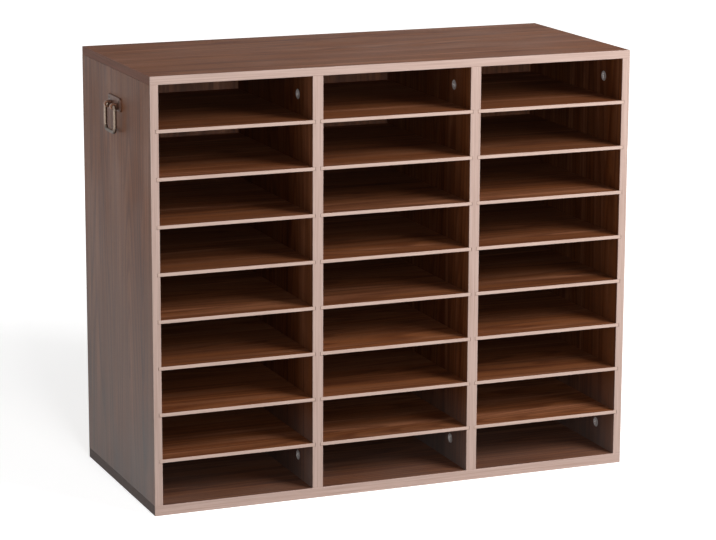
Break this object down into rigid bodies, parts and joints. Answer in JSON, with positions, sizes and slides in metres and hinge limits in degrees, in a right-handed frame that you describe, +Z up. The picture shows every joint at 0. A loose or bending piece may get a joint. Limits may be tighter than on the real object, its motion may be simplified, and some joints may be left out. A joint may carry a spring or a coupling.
{
  "type": "literature sorter",
  "caption": "Free-standing walnut-laminate paper sorter: three columns of open compartments with slide-out shelves, pale front edges and a drop handle on each side.",
  "frame": {"origin": "middle of the underside, on the surface it stands on", "axes": "+X to the right as seen from the front, -Y out of the open front, +Z up"},
  "size_m": [0.7654, 0.322, 0.63],
  "materials": {
    "walnut_laminate": "satin melamine laminate in a walnut print on particleboard",
    "walnut_shelf": "satin walnut foil on thin fibreboard, pale front edge",
    "walnut_hardboard": "walnut-print face, bare brown fibre behind",
    "pale_edge_band": "satin PVC, pinkish beige",
    "dark_edge_band": "satin PVC in a walnut print",
    "die_cast_zinc": "raw die casting, dull grey",
    "zinc_plated_steel": "zinc plated",
    "beech": "bare turned beech",
    "bronzed_zinc": "dark bronze plated casting",
    "nickel_plated_steel": "satin nickel plate",
    "bronzed_screw_steel": "dark bronze plated"
  },
  "bodies": {
    "carcass": {"back_panel": "walnut_hardboard", "back_screws": "zinc_plated_steel", "bottom_end_edge_bands": "dark_edge_band", "bottom_front_edge_band": "pale_edge_band", "bottom_panel": "walnut_laminate", "cam_bolts": "zinc_plated_steel", "divider_cam_locks": "die_cast_zinc", "left_divider": "walnut_laminate", "left_divider_front_edge_band": "pale_edge_band", "left_handle_plate": "bronzed_zinc", "left_handle_screws": "bronzed_screw_steel", "left_side_front_edge_band": "pale_edge_band", "left_side_panel": "walnut_laminate", "right_divider": "walnut_laminate", "right_divider_front_edge_band": "pale_edge_band", "right_handle_plate": "bronzed_zinc", "right_handle_screws": "bronzed_screw_steel", "right_side_front_edge_band": "pale_edge_band", "right_side_panel": "walnut_laminate", "side_cam_locks": "die_cast_zinc", "top_end_edge_bands": "dark_edge_band", "top_front_edge_band": "pale_edge_band", "top_panel": "walnut_laminate", "wood_dowels": "beech"},
    "shelf_left_1": {"shelf_left_1": "walnut_shelf"},
    "shelf_left_2": {"shelf_left_2": "walnut_shelf"},
    "shelf_left_3": {"shelf_left_3": "walnut_shelf"},
    "shelf_left_4": {"shelf_left_4": "walnut_shelf"},
    "shelf_left_5": {"shelf_left_5": "walnut_shelf"},
    "shelf_left_6": {"shelf_left_6": "walnut_shelf"},
    "shelf_left_7": {"shelf_left_7": "walnut_shelf"},
    "shelf_left_8": {"shelf_left_8": "walnut_shelf"},
    "shelf_middle_1": {"shelf_middle_1": "walnut_shelf"},
    "shelf_middle_2": {"shelf_middle_2": "walnut_shelf"},
    "shelf_middle_3": {"shelf_middle_3": "walnut_shelf"},
    "shelf_middle_4": {"shelf_middle_4": "walnut_shelf"},
    "shelf_middle_5": {"shelf_middle_5": "walnut_shelf"},
    "shelf_middle_6": {"shelf_middle_6": "walnut_shelf"},
    "shelf_middle_7": {"shelf_middle_7": "walnut_shelf"},
    "shelf_middle_8": {"shelf_middle_8": "walnut_shelf"},
    "shelf_right_1": {"shelf_right_1": "walnut_shelf"},
    "shelf_right_2": {"shelf_right_2": "walnut_shelf"},
    "shelf_right_3": {"shelf_right_3": "walnut_shelf"},
    "shelf_right_4": {"shelf_right_4": "walnut_shelf"},
    "shelf_right_5": {"shelf_right_5": "walnut_shelf"},
    "shelf_right_6": {"shelf_right_6": "walnut_shelf"},
    "shelf_right_7": {"shelf_right_7": "walnut_shelf"},
    "shelf_right_8": {"shelf_right_8": "walnut_shelf"},
    "left_bail": {"left_handle_bail": "nickel_plated_steel"},
    "right_bail": {"right_handle_bail": "nickel_plated_steel"}
  },
  "joints": [
    {"name": "shelf_left_1_slide", "type": "slide", "parent": "carcass", "child": "shelf_left_1", "axis": [0, -1, 0], "range_m": [0, 0.31]},
    {"name": "shelf_left_2_slide", "type": "slide", "parent": "carcass", "child": "shelf_left_2", "axis": [0, -1, 0], "range_m": [0, 0.31]},
    {"name": "shelf_left_3_slide", "type": "slide", "parent": "carcass", "child": "shelf_left_3", "axis": [0, -1, 0], "range_m": [0, 0.31]},
    {"name": "shelf_left_4_slide", "type": "slide", "parent": "carcass", "child": "shelf_left_4", "axis": [0, -1, 0], "range_m": [0, 0.31]},
    {"name": "shelf_left_5_slide", "type": "slide", "parent": "carcass", "child": "shelf_left_5", "axis": [0, -1, 0], "range_m": [0, 0.31]},
    {"name": "shelf_left_6_slide", "type": "slide", "parent": "carcass", "child": "shelf_left_6", "axis": [0, -1, 0], "range_m": [0, 0.31]},
    {"name": "shelf_left_7_slide", "type": "slide", "parent": "carcass", "child": "shelf_left_7", "axis": [0, -1, 0], "range_m": [0, 0.31]},
    {"name": "shelf_left_8_slide", "type": "slide", "parent": "carcass", "child": "shelf_left_8", "axis": [0, -1, 0], "range_m": [0, 0.31]},
    {"name": "shelf_middle_1_slide", "type": "slide", "parent": "carcass", "child": "shelf_middle_1", "axis": [0, -1, 0], "range_m": [0, 0.31]},
    {"name": "shelf_middle_2_slide", "type": "slide", "parent": "carcass", "child": "shelf_middle_2", "axis": [0, -1, 0], "range_m": [0, 0.31]},
    {"name": "shelf_middle_3_slide", "type": "slide", "parent": "carcass", "child": "shelf_middle_3", "axis": [0, -1, 0], "range_m": [0, 0.31]},
    {"name": "shelf_middle_4_slide", "type": "slide", "parent": "carcass", "child": "shelf_middle_4", "axis": [0, -1, 0], "range_m": [0, 0.31]},
    {"name": "shelf_middle_5_slide", "type": "slide", "parent": "carcass", "child": "shelf_middle_5", "axis": [0, -1, 0], "range_m": [0, 0.31]},
    {"name": "shelf_middle_6_slide", "type": "slide", "parent": "carcass", "child": "shelf_middle_6", "axis": [0, -1, 0], "range_m": [0, 0.31]},
    {"name": "shelf_middle_7_slide", "type": "slide", "parent": "carcass", "child": "shelf_middle_7", "axis": [0, -1, 0], "range_m": [0, 0.31]},
    {"name": "shelf_middle_8_slide", "type": "slide", "parent": "carcass", "child": "shelf_middle_8", "axis": [0, -1, 0], "range_m": [0, 0.31]},
    {"name": "shelf_right_1_slide", "type": "slide", "parent": "carcass", "child": "shelf_right_1", "axis": [0, -1, 0], "range_m": [0, 0.31]},
    {"name": "shelf_right_2_slide", "type": "slide", "parent": "carcass", "child": "shelf_right_2", "axis": [0, -1, 0], "range_m": [0, 0.31]},
    {"name": "shelf_right_3_slide", "type": "slide", "parent": "carcass", "child": "shelf_right_3", "axis": [0, -1, 0], "range_m": [0, 0.31]},
    {"name": "shelf_right_4_slide", "type": "slide", "parent": "carcass", "child": "shelf_right_4", "axis": [0, -1, 0], "range_m": [0, 0.31]},
    {"name": "shelf_right_5_slide", "type": "slide", "parent": "carcass", "child": "shelf_right_5", "axis": [0, -1, 0], "range_m": [0, 0.31]},
    {"name": "shelf_right_6_slide", "type": "slide", "parent": "carcass", "child": "shelf_right_6", "axis": [0, -1, 0], "range_m": [0, 0.31]},
    {"name": "shelf_right_7_slide", "type": "slide", "parent": "carcass", "child": "shelf_right_7", "axis": [0, -1, 0], "range_m": [0, 0.31]},
    {"name": "shelf_right_8_slide", "type": "slide", "parent": "carcass", "child": "shelf_right_8", "axis": [0, -1, 0], "range_m": [0, 0.31]},
    {"name": "left_bail_hinge", "type": "hinge", "parent": "carcass", "child": "left_bail", "pos_m": [-0.378, 0, 0.567], "axis": [0, 1, 0], "range_deg": [-8, 188]},
    {"name": "right_bail_hinge", "type": "hinge", "parent": "carcass", "child": "right_bail", "pos_m": [0.378, 0, 0.567], "axis": [0, -1, 0], "range_deg": [-8, 188]}
  ]
}
